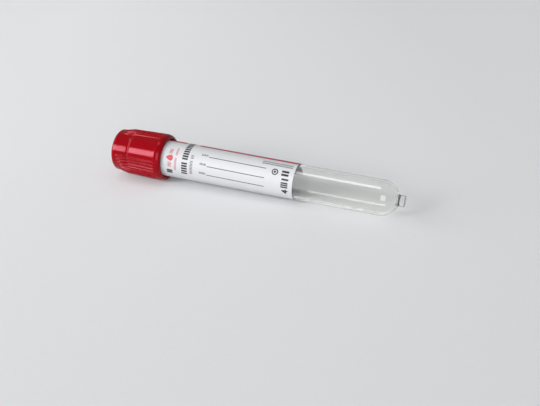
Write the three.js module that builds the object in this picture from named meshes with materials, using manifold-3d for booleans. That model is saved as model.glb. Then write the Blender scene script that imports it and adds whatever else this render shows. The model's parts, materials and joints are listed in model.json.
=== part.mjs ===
// Blood collection tube, 13 mm by 100 mm: a clear moulded tube with a wrapped paper label, closed by a
// rubber stopper that is held in a ribbed plastic safety cap.
//
// Millimetres, +Z up. The closed tube lies on the ground as it comes to rest: on the cap's rim ring and on
// the start of the tube's round bottom, with the round bottom towards +X. The origin is on the ground under
// the middle of its bounding box.
//
// Every piece is drawn along one axis. A station is a distance along it from the cap's top face towards the
// tube's round bottom. An angle about it starts on the side that faces -Y and grows upwards.

import * as THREE from 'three';
import { mergeVertices } from 'three/addons/utils/BufferGeometryUtils.js';
import Module from 'manifold-3d';

const wasm = await Module();
wasm.setup();

// ---- Driving dimensions -----------------------------------------------------------------------------

// Tube
const TUBE_LENGTH = 99.1; // from the mouth to the outside of the round bottom
const TUBE_MOUTH_RADIUS = 6.5;
const TUBE_END_RADIUS = 6.15; // outside radius of the round bottom, where the tapered wall meets it
const TUBE_WALL = 1.0;
const LIP_RADIUS = 0.3; // rounding of the mouth's two edges
const GATE_RADIUS = 1.9; // the boss that the mould's gate leaves on the round bottom
const GATE_LENGTH = 1.8;
const GATE_EDGE = 0.3; // rounding at the boss's end
const GATE_FILLET = 0.4; // rounding at the boss's foot
const GATE_DIMPLE_RADIUS = 0.7;
const GATE_DIMPLE_DEPTH = 0.3;

// Label
const LABEL_THICKNESS = 0.1;
const LABEL_GAP_TO_TUBE = 0.04;
const LABEL_LENGTH = 50.3;
const LABEL_TUCK = 0.7; // how far the label starts inside the cap's rim
const LABEL_WINDOW = 56; // degrees of bare tube between the label's two ends
const LABEL_WINDOW_CENTRE = 207; // degrees, on the side away from -Y and below

// Cap, outside
const CAP_LENGTH = 20.1;
const NECK_LENGTH = 6.5; // the smooth neck under the top face
const NECK_WALL = 1.0;
const TOP_EDGE_RADIUS = 1.0;
const GRIP_SLOPE = 0.9; // the length of the slope from the neck up to the grip
const GRIP_WALL = 0.95; // the wall at the grip's start, under the surface that the ribs stand on
const GRIP_RISE = 0.3; // how much that surface widens on its way to the ring
const RING_HEIGHT = 0.85; // the plain ring at the open end, above the grip's start
const RING_LENGTH = 0.8;
const RIM_LENGTH = 1.7; // from the ring to the open end, where the outside turns in
const RIM_WIDTH = 0.2; // the flat that is left on the rim
const STEP_LENGTH = 0.25; // the slope that leads up to the ring

// Grip ribs and the two smooth finger pads between them
const RIB_POSITIONS = 40; // places for ribs round the cap, the bare ones beside the pads included
const RIB_WIDTH = 0.8;
const RIB_EDGE = 0.2; // bevel on each side of a rib's crest
const RIB_START = 1.9; // where a rib rises from the neck
const RIB_RAMP = 2.8; // the length of that rise
const RIB_HEIGHT = 0.5; // above the grip at the top of the rise
const RIB_BELOW_RING = 0.05; // how far the crest stays below the ring where it runs into it
const RIB_ROOT = 0.45; // how deep ribs and pads are let into the neck's wall
const PAD_HEIGHT = 0.25; // above the grip
const PAD_CENTRE = 45; // degrees; the other pad is opposite
const PAD_HALF_ANGLE = 27.3; // degrees
const RIB_FREE_ANGLE = 36; // degrees from a pad's centre that hold no rib

// Cap, inside
const WELL_LIP = 0.15; // how far the needle well's edge reaches over the stopper's button
const TOP_WALL = 1.2;
const COLLAR_WALL = 0.85; // the collar that hangs from the top face and grips the stopper's button
const HOOK_HEIGHT = 0.7; // the inward hook at the collar's end
const SKIRT_CLEARANCE = 0.3; // between the tube's mouth and the skirt's bore
const SKIRT_LEAD_IN = 0.5; // the length of the widening at the skirt's mouth
const SKIRT_LEAD_IN_DEPTH = 0.17;

// Stopper
const MOUTH_STATION = 6.5; // how far below the cap's top face the tube's mouth sits
const FLANGE_INSET = 0.2; // how much smaller the flange is than the tube's mouth
const FLANGE_THICKNESS = 1.4;
const FLANGE_EDGE = 0.25;
const BUTTON_RADIUS = 3.65;
const BUTTON_THICKNESS = 1.1;
const BUTTON_EDGE = 0.2;
const BUTTON_LEDGE = 0.65; // how far the button stands out from the waist under it
const DIMPLE_RADIUS = 1.9; // the needle's target in the button
const DIMPLE_DEPTH = 0.4;
const PLUG_LENGTH = 8.2; // below the tube's mouth
const PLUG_CLEARANCE = 0.07; // between a sealing bead and the tube's bore
const BEAD_HEIGHT = 0.3; // how far a sealing bead stands out from the plug
const BEAD_HALF_LENGTH = 0.7;
const BEAD_DEPTHS = [2.2, 5.0]; // below the tube's mouth
const PLUG_LEAD_IN = 0.9; // the length of the narrowing at the plug's end
const PLUG_LEAD_IN_DEPTH = 0.45;
const HOLLOW_RADIUS = 2.8; // the hollow in the plug's underside
const HOLLOW_TAPER = 0.35; // how much narrower it is where its round top starts
const SEPTUM_THICKNESS = 3.2; // rubber left under the flange's underside, over the hollow

const SEAT_GAP = 0.3; // between faces that seat on each other
const FACETS = 40; // sides of every round piece: one for each rib position
const ARC_STEPS = 3; // a large rounded corner is drawn with twice this many lines
const SMALL_ARC_STEPS = 2; // a small one with twice this many
const LIP_STEPS = 1;
const BOTTOM_STEPS = 4; // the round bottom with twice this many
const SAME_POINT = 1e-4; // points closer than this are one point

// ---- Stations and radii that follow from them -------------------------------------------------------

const tubeEnd = MOUTH_STATION + TUBE_LENGTH;
const bottomCentre = tubeEnd - TUBE_END_RADIUS;
const flangeRadius = TUBE_MOUTH_RADIUS - FLANGE_INSET;
const waistRadius = BUTTON_RADIUS - BUTTON_LEDGE;
const wellRadius = BUTTON_RADIUS - WELL_LIP;
const skirtRadius = TUBE_MOUTH_RADIUS + SKIRT_CLEARANCE;
const socketRadius = flangeRadius + SEAT_GAP;

const neckRadius = socketRadius + NECK_WALL;
const gripRadius = skirtRadius + GRIP_WALL;
const ringRadius = gripRadius + RING_HEIGHT;
const ringEnd = CAP_LENGTH - RIM_LENGTH;
const ringStart = ringEnd - RING_LENGTH;
const gripStart = NECK_LENGTH + GRIP_SLOPE;
const gripEndRadius = gripRadius + GRIP_RISE;

const flangeEnd = MOUTH_STATION - SEAT_GAP;
const flangeStart = flangeEnd - FLANGE_THICKNESS;
const collarEnd = flangeStart - SEAT_GAP;
const hookStart = collarEnd - HOOK_HEIGHT;
const buttonEnd = hookStart - SEAT_GAP;
const buttonStart = buttonEnd - BUTTON_THICKNESS;
const chamberStart = buttonStart - SEAT_GAP;
const chamberRadius = BUTTON_RADIUS + SEAT_GAP;
const hookRadius = waistRadius + SEAT_GAP;

/** Outside radius of the tube at a station: a straight taper from the mouth to the round bottom. */
function tubeRadius(station) {
  const share = (station - MOUTH_STATION) / (bottomCentre - MOUTH_STATION);
  return THREE.MathUtils.lerp(TUBE_MOUTH_RADIUS, TUBE_END_RADIUS, share);
}

/** Radius of the tube's bore at a station. */
function boreRadius(station) {
  return tubeRadius(station) - TUBE_WALL;
}

// ---- Helpers ----------------------------------------------------------------------------------------

const degrees = THREE.MathUtils.degToRad;
const FACET_ANGLE = degrees(360 / FACETS);
const QUARTER = Math.PI / 2;

/** The points without the doubles where one stretch of an outline meets the next. */
function withoutDoubles(points) {
  return points.filter((point, index) => index === 0 || point.distanceTo(points[index - 1]) > SAME_POINT);
}

/** Turns an outline of (radius, station) about the axis. Half a facet of turn lays a flat side down. */
function revolve(points) {
  return new THREE.LatheGeometry(withoutDoubles(points), FACETS, FACET_ANGLE / 2);
}

/** Turns a closed outline, whose last point is joined to its first. */
function revolveRing(points) {
  return revolve([...points, points[0].clone()]);
}

/** A manifold solid of a closed geometry. */
function toSolid(geometry) {
  const bare = new THREE.BufferGeometry();
  bare.setAttribute('position', geometry.getAttribute('position').clone());
  bare.setIndex(geometry.getIndex());
  const merged = mergeVertices(bare);
  const vertProperties = Float32Array.from(merged.getAttribute('position').array);
  const triVerts = Uint32Array.from(merged.getIndex().array);
  return new wasm.Manifold(new wasm.Mesh({ numProp: 3, vertProperties, triVerts }));
}

/** The geometry of a manifold solid. */
function toGeometry(solid) {
  const mesh = solid.getMesh();
  const geometry = new THREE.BufferGeometry();
  geometry.setAttribute('position', new THREE.BufferAttribute(mesh.vertProperties, 3));
  geometry.setIndex(new THREE.BufferAttribute(mesh.triVerts, 1));
  geometry.computeVertexNormals();
  return geometry;
}

/** A wedge about the axis, from one station to another, that reaches past every turned surface. */
function wedgeSolid(centre, halfAngle, from, to) {
  const section = new THREE.Shape();
  section.moveTo(0, 0);
  section.absarc(0, 0, 2 * TUBE_MOUTH_RADIUS, -degrees(halfAngle), degrees(halfAngle), false);
  section.closePath();
  const wedge = new THREE.ExtrudeGeometry(section, {
    depth: to - from,
    curveSegments: 2 * ARC_STEPS,
    bevelEnabled: false,
  });
  wedge.rotateX(-QUARTER);
  wedge.translate(0, from, 0);
  wedge.rotateY(-degrees(centre));
  return toSolid(wedge);
}

// ---- Tube -------------------------------------------------------------------------------------------

/** The clear tube: a tapered wall, a round bottom and the gate's boss, turned as one piece. */
function tubeGeometry() {
  const boreBottomRadius = boreRadius(bottomCentre);
  const bossEnd = tubeEnd + GATE_LENGTH;
  const footAngle = Math.asin((GATE_RADIUS + GATE_FILLET) / TUBE_END_RADIUS);
  const footStation = bottomCentre + TUBE_END_RADIUS * Math.cos(footAngle);

  const inside = new THREE.Path();
  inside.moveTo(0, bottomCentre + boreBottomRadius);
  inside.absarc(0, bottomCentre, boreBottomRadius, QUARTER, 0, true);

  const wall = new THREE.Path();
  const lip = MOUTH_STATION + LIP_RADIUS;
  wall.moveTo(boreRadius(lip), lip);
  wall.absarc(boreRadius(lip) + LIP_RADIUS, lip, LIP_RADIUS, Math.PI, 3 * QUARTER, false);
  wall.absarc(tubeRadius(lip) - LIP_RADIUS, lip, LIP_RADIUS, -QUARTER, 0, false);

  const outside = new THREE.Path();
  outside.moveTo(TUBE_END_RADIUS, bottomCentre);
  outside.absarc(0, bottomCentre, TUBE_END_RADIUS, 0, QUARTER - footAngle, false);

  const boss = new THREE.Path();
  boss.moveTo(GATE_RADIUS + GATE_FILLET, footStation);
  boss.quadraticCurveTo(GATE_RADIUS, footStation, GATE_RADIUS, footStation + GATE_FILLET);
  boss.lineTo(GATE_RADIUS, bossEnd - GATE_EDGE);
  boss.absarc(GATE_RADIUS - GATE_EDGE, bossEnd - GATE_EDGE, GATE_EDGE, 0, QUARTER, false);
  boss.lineTo(GATE_DIMPLE_RADIUS, bossEnd);
  boss.lineTo(GATE_DIMPLE_RADIUS / 2, bossEnd - GATE_DIMPLE_DEPTH);
  boss.lineTo(0, bossEnd - GATE_DIMPLE_DEPTH);

  return revolve([
    ...inside.getPoints(BOTTOM_STEPS),
    ...wall.getPoints(LIP_STEPS),
    ...outside.getPoints(BOTTOM_STEPS),
    ...boss.getPoints(SMALL_ARC_STEPS),
  ]);
}

// ---- Label ------------------------------------------------------------------------------------------

/** The paper label: a thin sleeve that follows the tube's taper, opened by the window at its back. */
function labelGeometry() {
  const start = CAP_LENGTH - LABEL_TUCK;
  const end = start + LABEL_LENGTH;
  const inner = (station) => tubeRadius(station) + LABEL_GAP_TO_TUBE;
  const sleeve = revolveRing([
    new THREE.Vector2(inner(start), start),
    new THREE.Vector2(inner(start) + LABEL_THICKNESS, start),
    new THREE.Vector2(inner(end) + LABEL_THICKNESS, end),
    new THREE.Vector2(inner(end), end),
  ]);
  const window = wedgeSolid(LABEL_WINDOW_CENTRE, LABEL_WINDOW / 2, start - LABEL_TUCK, end + LABEL_TUCK);
  return toGeometry(toSolid(sleeve).subtract(window));
}

// ---- Stopper ----------------------------------------------------------------------------------------

/** Adds one round sealing bead of the plug, whose crest clears the bore. */
function addBead(outline, depth) {
  const station = MOUTH_STATION + depth;
  const crest = boreRadius(station) - PLUG_CLEARANCE;
  const foot = crest - BEAD_HEIGHT;
  outline.lineTo(foot, station - BEAD_HALF_LENGTH);
  outline.quadraticCurveTo(crest + BEAD_HEIGHT, station, foot, station + BEAD_HALF_LENGTH);
}

/** The rubber stopper: button, waist, flange and beaded plug with a hollow underside. */
function stopperGeometry() {
  const plugEnd = MOUTH_STATION + PLUG_LENGTH;
  const plugRadius = boreRadius(plugEnd) - PLUG_CLEARANCE - BEAD_HEIGHT;
  const hollowTopRadius = HOLLOW_RADIUS - HOLLOW_TAPER;
  const hollowTop = flangeEnd + SEPTUM_THICKNESS;

  const outline = new THREE.Path();
  outline.moveTo(0, buttonStart + DIMPLE_DEPTH);
  outline.lineTo(DIMPLE_RADIUS - DIMPLE_DEPTH, buttonStart + DIMPLE_DEPTH);
  outline.lineTo(DIMPLE_RADIUS, buttonStart);
  outline.lineTo(BUTTON_RADIUS - BUTTON_EDGE, buttonStart);
  outline.absarc(BUTTON_RADIUS - BUTTON_EDGE, buttonStart + BUTTON_EDGE, BUTTON_EDGE, -QUARTER, 0, false);
  outline.lineTo(BUTTON_RADIUS, buttonEnd);
  outline.lineTo(waistRadius, buttonEnd);
  outline.lineTo(waistRadius, flangeStart);
  outline.lineTo(flangeRadius - FLANGE_EDGE, flangeStart);
  outline.absarc(flangeRadius - FLANGE_EDGE, flangeStart + FLANGE_EDGE, FLANGE_EDGE, -QUARTER, 0, false);
  outline.lineTo(flangeRadius, flangeEnd);
  outline.lineTo(plugRadius, flangeEnd);
  for (const depth of BEAD_DEPTHS) {
    addBead(outline, depth);
  }
  outline.lineTo(plugRadius, plugEnd - PLUG_LEAD_IN);
  outline.lineTo(plugRadius - PLUG_LEAD_IN_DEPTH, plugEnd);
  outline.lineTo(HOLLOW_RADIUS, plugEnd);
  outline.lineTo(hollowTopRadius, hollowTop + hollowTopRadius);
  outline.absarc(0, hollowTop + hollowTopRadius, hollowTopRadius, 0, -QUARTER, true);
  return revolve(outline.getPoints(SMALL_ARC_STEPS));
}

// ---- Cap --------------------------------------------------------------------------------------------

/** The cap's turned body: neck, grip, ring and rim outside; skirt, socket, collar and well inside. */
function capBody() {
  const outline = new THREE.Path();
  outline.moveTo(wellRadius, 0);
  outline.lineTo(neckRadius - TOP_EDGE_RADIUS, 0);
  outline.absarc(neckRadius - TOP_EDGE_RADIUS, TOP_EDGE_RADIUS, TOP_EDGE_RADIUS, -QUARTER, 0, false);
  outline.lineTo(neckRadius, NECK_LENGTH);
  outline.lineTo(gripRadius, gripStart);
  outline.lineTo(gripEndRadius, ringStart);
  outline.lineTo(ringRadius, ringStart + STEP_LENGTH);
  outline.lineTo(ringRadius, ringEnd);

  // The rim: a quarter of an ellipse in to the narrow flat, then the lead-in to the skirt's bore.
  const mouthRadius = skirtRadius + SKIRT_LEAD_IN_DEPTH;
  const turnRadius = mouthRadius + RIM_WIDTH;
  outline.absellipse(turnRadius, ringEnd, ringRadius - turnRadius, RIM_LENGTH, 0, QUARTER, false, 0);
  outline.lineTo(mouthRadius, CAP_LENGTH);
  outline.lineTo(skirtRadius, CAP_LENGTH - SKIRT_LEAD_IN);

  // The skirt's bore narrows to the socket of the stopper's flange, past the tube's mouth.
  outline.lineTo(skirtRadius, MOUTH_STATION + SEAT_GAP);
  outline.lineTo(socketRadius, MOUTH_STATION - SEAT_GAP);
  outline.lineTo(socketRadius, TOP_WALL);

  // The collar, its hook and the chamber round the stopper's button.
  const collarRadius = chamberRadius + COLLAR_WALL;
  outline.lineTo(collarRadius, TOP_WALL);
  outline.lineTo(collarRadius, collarEnd);
  outline.lineTo(hookRadius, collarEnd);
  outline.lineTo(hookRadius, hookStart);
  outline.lineTo(chamberRadius, hookStart);
  outline.lineTo(chamberRadius, chamberStart);
  outline.lineTo(wellRadius, chamberStart);
  return toSolid(revolveRing(outline.getPoints(ARC_STEPS)));
}

/** One grip rib: its side view, extruded across the axis and bevelled at the crest. */
function ribSolid(angle) {
  const crestEnd = ringStart + STEP_LENGTH;
  const root = neckRadius - RIB_ROOT;
  const side = new THREE.Shape();
  side.moveTo(root, RIB_START);
  side.lineTo(neckRadius, RIB_START);
  side.lineTo(gripRadius + RIB_HEIGHT, RIB_START + RIB_RAMP);
  side.lineTo(ringRadius - RIB_BELOW_RING, crestEnd);
  side.lineTo(root, crestEnd);
  side.closePath();
  const rib = new THREE.ExtrudeGeometry(side, {
    depth: RIB_WIDTH - 2 * RIB_EDGE,
    bevelEnabled: true,
    bevelThickness: RIB_EDGE,
    bevelSize: RIB_EDGE,
    bevelOffset: -RIB_EDGE,
    bevelSegments: 1,
  });
  rib.translate(0, 0, RIB_EDGE - RIB_WIDTH / 2);
  rib.rotateY(-degrees(angle));
  return toSolid(rib);
}

/** One smooth finger pad: a turned sleeve that widens with the grip, cut to the pad's angle. */
function padSolid(angle) {
  const root = neckRadius - RIB_ROOT;
  const end = ringStart + STEP_LENGTH;
  const sleeve = revolveRing([
    new THREE.Vector2(root, NECK_LENGTH),
    new THREE.Vector2(neckRadius, NECK_LENGTH),
    new THREE.Vector2(gripRadius + PAD_HEIGHT, gripStart),
    new THREE.Vector2(gripEndRadius + PAD_HEIGHT, end),
    new THREE.Vector2(root, end),
  ]);
  return toSolid(sleeve).intersect(wedgeSolid(angle, PAD_HALF_ANGLE, 0, CAP_LENGTH));
}

/** Degrees between an angle and the centre of the nearer of the two pads. */
function degreesFromPad(angle) {
  const turned = THREE.MathUtils.euclideanModulo(angle - PAD_CENTRE, 180);
  return Math.min(turned, 180 - turned);
}

/** The safety cap: the turned body with its two pads and two groups of ribs. */
function capGeometry() {
  let cap = capBody();
  for (const angle of [PAD_CENTRE, PAD_CENTRE + 180]) {
    cap = cap.add(padSolid(angle));
  }
  const pitch = 360 / RIB_POSITIONS;
  for (let position = 0; position < RIB_POSITIONS; position += 1) {
    const angle = (position + 0.5) * pitch;
    if (degreesFromPad(angle) > RIB_FREE_ANGLE) {
      cap = cap.add(ribSolid(angle));
    }
  }
  return toGeometry(cap);
}

// ---- Materials --------------------------------------------------------------------------------------

const clearPlastic = new THREE.MeshStandardMaterial({
  color: '#e9eef0',
  roughness: 0.08,
  metalness: 0,
  transparent: true,
  opacity: 0.35,
});
const redPlastic = new THREE.MeshStandardMaterial({ color: '#b40a1e', roughness: 0.25, metalness: 0 });
const greyRubber = new THREE.MeshStandardMaterial({ color: '#6c6e70', roughness: 0.7, metalness: 0 });
const whitePaper = new THREE.MeshStandardMaterial({ color: '#eceef0', roughness: 0.5, metalness: 0 });

// ---- Assembly ---------------------------------------------------------------------------------------

/**
 * How far the axis tips down towards the round bottom, in radians, when the ring and the round bottom both
 * touch the ground: the slope of the line that touches the ring's corner and the bottom's circle.
 */
function restingTilt() {
  const flatSide = Math.cos(FACET_ANGLE / 2);
  const ring = ringRadius * flatSide;
  const bottom = TUBE_END_RADIUS * flatSide;
  const distance = bottomCentre - ringEnd;
  return Math.acos(bottom / Math.hypot(ring, distance)) - Math.atan2(distance, ring);
}

function namedMesh(name, geometry, material) {
  const mesh = new THREE.Mesh(geometry, material);
  mesh.name = name;
  return mesh;
}

const alongX = new THREE.Group();
alongX.rotation.z = -QUARTER;
alongX.add(
  namedMesh('tube', tubeGeometry(), clearPlastic),
  namedMesh('label', labelGeometry(), whitePaper),
  namedMesh('stopper', stopperGeometry(), greyRubber),
  namedMesh('cap', capGeometry(), redPlastic),
);

const lying = new THREE.Group();
lying.rotation.y = restingTilt();
lying.add(alongX);

const group = new THREE.Group();
group.add(lying);
const extent = new THREE.Box3().setFromObject(group, true);
const middle = extent.getCenter(new THREE.Vector3());
lying.position.set(-middle.x, -middle.y, -extent.min.z);
group.updateMatrixWorld(true);

export default group;
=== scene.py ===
"""Looks of a closed blood collection tube that lies on a pale floor.

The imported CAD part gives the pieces' places: a clear moulded tube, the printed paper label round it, the
rubber stopper, and the ribbed safety cap that holds the stopper. Each is drawn again here as a fine surface
in the same frame, in metres.

Every piece follows one axis. A station is a distance along it from the cap's top face towards the tube's
round bottom. An angle about it starts on the side that faces -Y and grows upwards.
"""

import json
import logging
import math
from collections.abc import Sequence
from dataclasses import dataclass, field
from enum import Enum
from functools import reduce
from typing import Any

import bpy
import numpy as np
from mathutils import Matrix, Vector


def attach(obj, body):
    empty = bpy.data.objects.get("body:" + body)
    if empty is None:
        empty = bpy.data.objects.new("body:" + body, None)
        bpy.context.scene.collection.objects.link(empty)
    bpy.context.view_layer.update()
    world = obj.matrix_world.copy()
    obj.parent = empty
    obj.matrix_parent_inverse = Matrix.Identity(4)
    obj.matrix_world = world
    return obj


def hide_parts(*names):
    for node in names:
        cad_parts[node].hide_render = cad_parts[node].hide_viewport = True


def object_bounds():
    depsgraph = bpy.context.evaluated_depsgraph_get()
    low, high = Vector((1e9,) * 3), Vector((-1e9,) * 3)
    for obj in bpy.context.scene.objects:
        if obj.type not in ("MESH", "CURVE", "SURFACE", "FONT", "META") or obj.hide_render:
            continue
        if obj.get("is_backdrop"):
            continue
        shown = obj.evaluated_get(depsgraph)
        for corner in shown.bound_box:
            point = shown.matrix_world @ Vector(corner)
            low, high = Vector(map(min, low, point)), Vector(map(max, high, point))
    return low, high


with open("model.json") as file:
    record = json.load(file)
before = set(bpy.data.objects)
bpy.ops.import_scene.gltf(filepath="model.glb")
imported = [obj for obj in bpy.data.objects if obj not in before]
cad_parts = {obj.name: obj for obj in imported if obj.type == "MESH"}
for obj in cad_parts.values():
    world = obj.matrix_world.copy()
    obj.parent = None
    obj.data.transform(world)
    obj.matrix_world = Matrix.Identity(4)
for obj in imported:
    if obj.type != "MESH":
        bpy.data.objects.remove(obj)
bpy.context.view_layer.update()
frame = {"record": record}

logger = logging.getLogger("blood_tube")

MM = 0.001  # metres
CAD_FACETS = 40  # sides of the CAD part's round pieces
FLAT_SIDE = math.cos(math.pi / CAD_FACETS)  # a facet's distance from the axis, as a share of the radius
SHARP_EDGE = math.radians(50)  # a fold that is shaded as an edge
RIBBED = "ribbed"  # the cap mesh's own value, 1 on its ribs

Span = tuple[float, float]
Corner = tuple[float, float, float]  # station, radius and rounding
Scales = tuple[float, float, float]
Colour = tuple[float, float, float, float]


# ---- The axis -----------------------------------------------------------------------------------------


@dataclass(frozen=True)
class TubeAxis:
    """The line that every piece is drawn along.

    Attributes:
        origin: centre of the cap's top face.
        along: unit vector towards the round bottom.
        side: unit vector of angle 0, level and towards -Y.
        up: unit vector of angle 90 degrees.
    """

    origin: np.ndarray
    along: np.ndarray
    side: np.ndarray
    up: np.ndarray

    @classmethod
    def from_record(cls, record: dict[str, Any], mount_rise: float = 5.0 * MM) -> "TubeAxis":
        """Reads the axis from the closure's joint and the mount on the cap's top face.

        Args:
            record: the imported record.
            mount_rise: how far that mount's point lies above the axis.

        Returns:
            The axis in the frame's coordinates.
        """
        joint = record["behaviour"]["joints"][0]
        along = -np.array(joint["axis"], float)
        along /= np.linalg.norm(along)
        side = np.array([0.0, -1.0, 0.0])
        up = np.cross(along, side)
        up *= np.sign(up[2])
        mount = next(m for m in record["mounts"] if m["name"] == "cap_top")
        origin = np.array(mount["pos_m"], float) - mount_rise * up
        return cls(origin, along, side, up)

    def place(self, station: np.ndarray, radius: np.ndarray, angle: np.ndarray) -> np.ndarray:
        """Points from their stations, radii and angles.

        point = origin + station * along + radius * (cos(angle) * side + sin(angle) * up)

        Args:
            station: distances along the axis.
            radius: distances from it.
            angle: radians about it.

        Returns:
            The points, with one more axis than the three arrays broadcast together.
        """
        across = np.cos(angle)[..., None] * self.side + np.sin(angle)[..., None] * self.up
        return self.origin + station[..., None] * self.along + radius[..., None] * across


# ---- Outlines and meshes ------------------------------------------------------------------------------


def rounded(corners: Sequence[Corner], steps: int = 5) -> np.ndarray:
    """An outline whose corners are rounded.

    A corner P with rounding r becomes the curve (1-t)^2 A + 2t(1-t) P + t^2 B, where A lies r before P on
    the side that comes in, and B lies r after it on the side that goes out.

    Args:
        corners: (station, radius, rounding) of each corner, in order. The two ends stay sharp.
        steps: lines in each rounding.

    Returns:
        Points (station, radius), without doubles.
    """
    table = np.array(corners, float)
    points, rounding = table[:, :2], table[1:-1, 2, None]
    corner = points[1:-1]
    to_last = points[:-2] - corner
    to_next = points[2:] - corner
    before = corner + rounding * to_last / np.linalg.norm(to_last, axis=1, keepdims=True)
    after = corner + rounding * to_next / np.linalg.norm(to_next, axis=1, keepdims=True)
    t = np.linspace(0, 1, steps + 1)[None, :, None]
    curves = (1 - t) ** 2 * before[:, None] + 2 * t * (1 - t) * corner[:, None] + t**2 * after[:, None]
    return without_doubles(np.vstack([points[:1], curves.reshape(-1, 2), points[-1:]]))


def arc(centre: float, radius: float, start: float, end: float, steps: int) -> np.ndarray:
    """Part of a circle round a point of the axis, from one angle off the axis to another.

    station = centre + radius * cos(angle), and distance from the axis = radius * sin(angle)

    Args:
        centre: station of the circle's centre.
        radius: the circle's radius.
        start: first angle off the axis, in radians.
        end: last angle off the axis, in radians.
        steps: lines in the arc.

    Returns:
        Points (station, radius).
    """
    angle = np.linspace(start, end, steps + 1)
    return np.stack([centre + radius * np.cos(angle), radius * np.sin(angle)], axis=1)


def without_doubles(outline: np.ndarray, nearest: float = 1e-3 * MM) -> np.ndarray:
    """The outline without points that lie on the one before them."""
    step = np.linalg.norm(np.diff(outline, axis=0), axis=1)
    return outline[np.concatenate([[True], step > nearest])]


def divided(outline: np.ndarray, spacing: float) -> np.ndarray:
    """The outline with more points on its long straight stretches.

    Args:
        outline: points (station, radius).
        spacing: largest distance between two points.

    Returns:
        The same line with every old point kept and new ones laid evenly between them.
    """
    length = np.linalg.norm(np.diff(outline, axis=0), axis=1)
    parts = np.maximum(1, np.ceil(length / spacing).astype(int))
    corner = np.concatenate([[0], np.cumsum(parts)])
    place = np.arange(corner[-1] + 1)
    return np.stack([np.interp(place, corner, outline[:, i]) for i in (0, 1)], axis=1)


def grid_quads(rows: int, columns: int, loop_rows: bool = False, loop_columns: bool = True) -> np.ndarray:
    """Four-sided faces of a grid, facing outwards where stations grow from row to row.

    Args:
        rows: points along the outline.
        columns: points about the axis.
        loop_rows: join the last row to the first.
        loop_columns: join the last column to the first.

    Returns:
        Vertex numbers, four to a face.
    """
    r, c = np.meshgrid(
        np.arange(rows if loop_rows else rows - 1),
        np.arange(columns if loop_columns else columns - 1),
        indexing="ij",
    )
    below, right = (r + 1) % rows, (c + 1) % columns
    corners = [r * columns + c, below * columns + c, below * columns + right, r * columns + right]
    return np.stack(corners, axis=-1).reshape(-1, 4)


def make_mesh(
    name: str, points: np.ndarray, quads: np.ndarray, triangles: np.ndarray | None = None
) -> bpy.types.Mesh:
    """A smooth-shaded mesh of four-sided and three-sided faces.

    Args:
        name: the mesh's name.
        points: vertex places, in metres.
        quads: vertex numbers, four to a face.
        triangles: vertex numbers, three to a face.

    Returns:
        The mesh, its quads first.
    """
    triangles = np.empty((0, 3), int) if triangles is None else triangles
    mesh = bpy.data.meshes.new(name)
    mesh.vertices.add(len(points))
    mesh.vertices.foreach_set("co", points.astype(np.float32).ravel())
    corners = np.concatenate([quads.ravel(), triangles.ravel()]).astype(np.int32)
    mesh.loops.add(len(corners))
    mesh.loops.foreach_set("vertex_index", corners)
    sides = np.concatenate([np.full(len(quads), 4), np.full(len(triangles), 3)]).astype(np.int32)
    mesh.polygons.add(len(sides))
    mesh.polygons.foreach_set("loop_start", (np.cumsum(sides) - sides).astype(np.int32))
    mesh.polygons.foreach_set("use_smooth", np.ones(len(sides), bool))
    mesh.update(calc_edges=True)
    mesh.validate()
    mesh.set_sharp_from_angle(angle=SHARP_EDGE)
    return mesh


def turned_mesh(name: str, axis: TubeAxis, outline: np.ndarray, columns: int) -> bpy.types.Mesh:
    """The solid that an outline sweeps about the axis.

    Args:
        name: the mesh's name.
        axis: the line to turn about.
        outline: points (station, radius) that start and end on the axis.
        columns: points about the axis.

    Returns:
        A closed mesh with one vertex at each pole.
    """
    angle = np.arange(columns) * 2 * math.pi / columns
    body = outline[1:-1]
    points = axis.place(body[:, :1], body[:, 1:], angle[None, :]).reshape(-1, 3)
    poles = axis.place(outline[[0, -1], 0], np.zeros(2), np.zeros(2))
    first, last = len(points), len(points) + 1
    here = np.arange(columns)
    beside = (here + 1) % columns
    end = (len(body) - 1) * columns
    triangles = np.concatenate(
        [
            np.stack([np.full(columns, first), here, beside], axis=1),
            np.stack([end + here, np.full(columns, last), end + beside], axis=1),
        ]
    )
    return make_mesh(name, np.vstack([points, poles]), grid_quads(len(body), columns), triangles)


def smooth_peak(first: np.ndarray, second: np.ndarray, blend: float) -> np.ndarray:
    """The larger of two heights, with a soft inner corner where they cross.

    share = 1/2 + (second - first) / (2 * blend), held between 0 and 1, and the result is
    first + share * (second - first) + blend * share * (1 - share)

    Args:
        first: heights of one surface.
        second: heights of the other.
        blend: height difference at which the corner starts.

    Returns:
        The heights of the joined surface.
    """
    share = np.clip(0.5 + (second - first) / (2 * blend), 0, 1)
    return first + share * (second - first) + blend * share * (1 - share)


# ---- Materials ----------------------------------------------------------------------------------------


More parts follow.
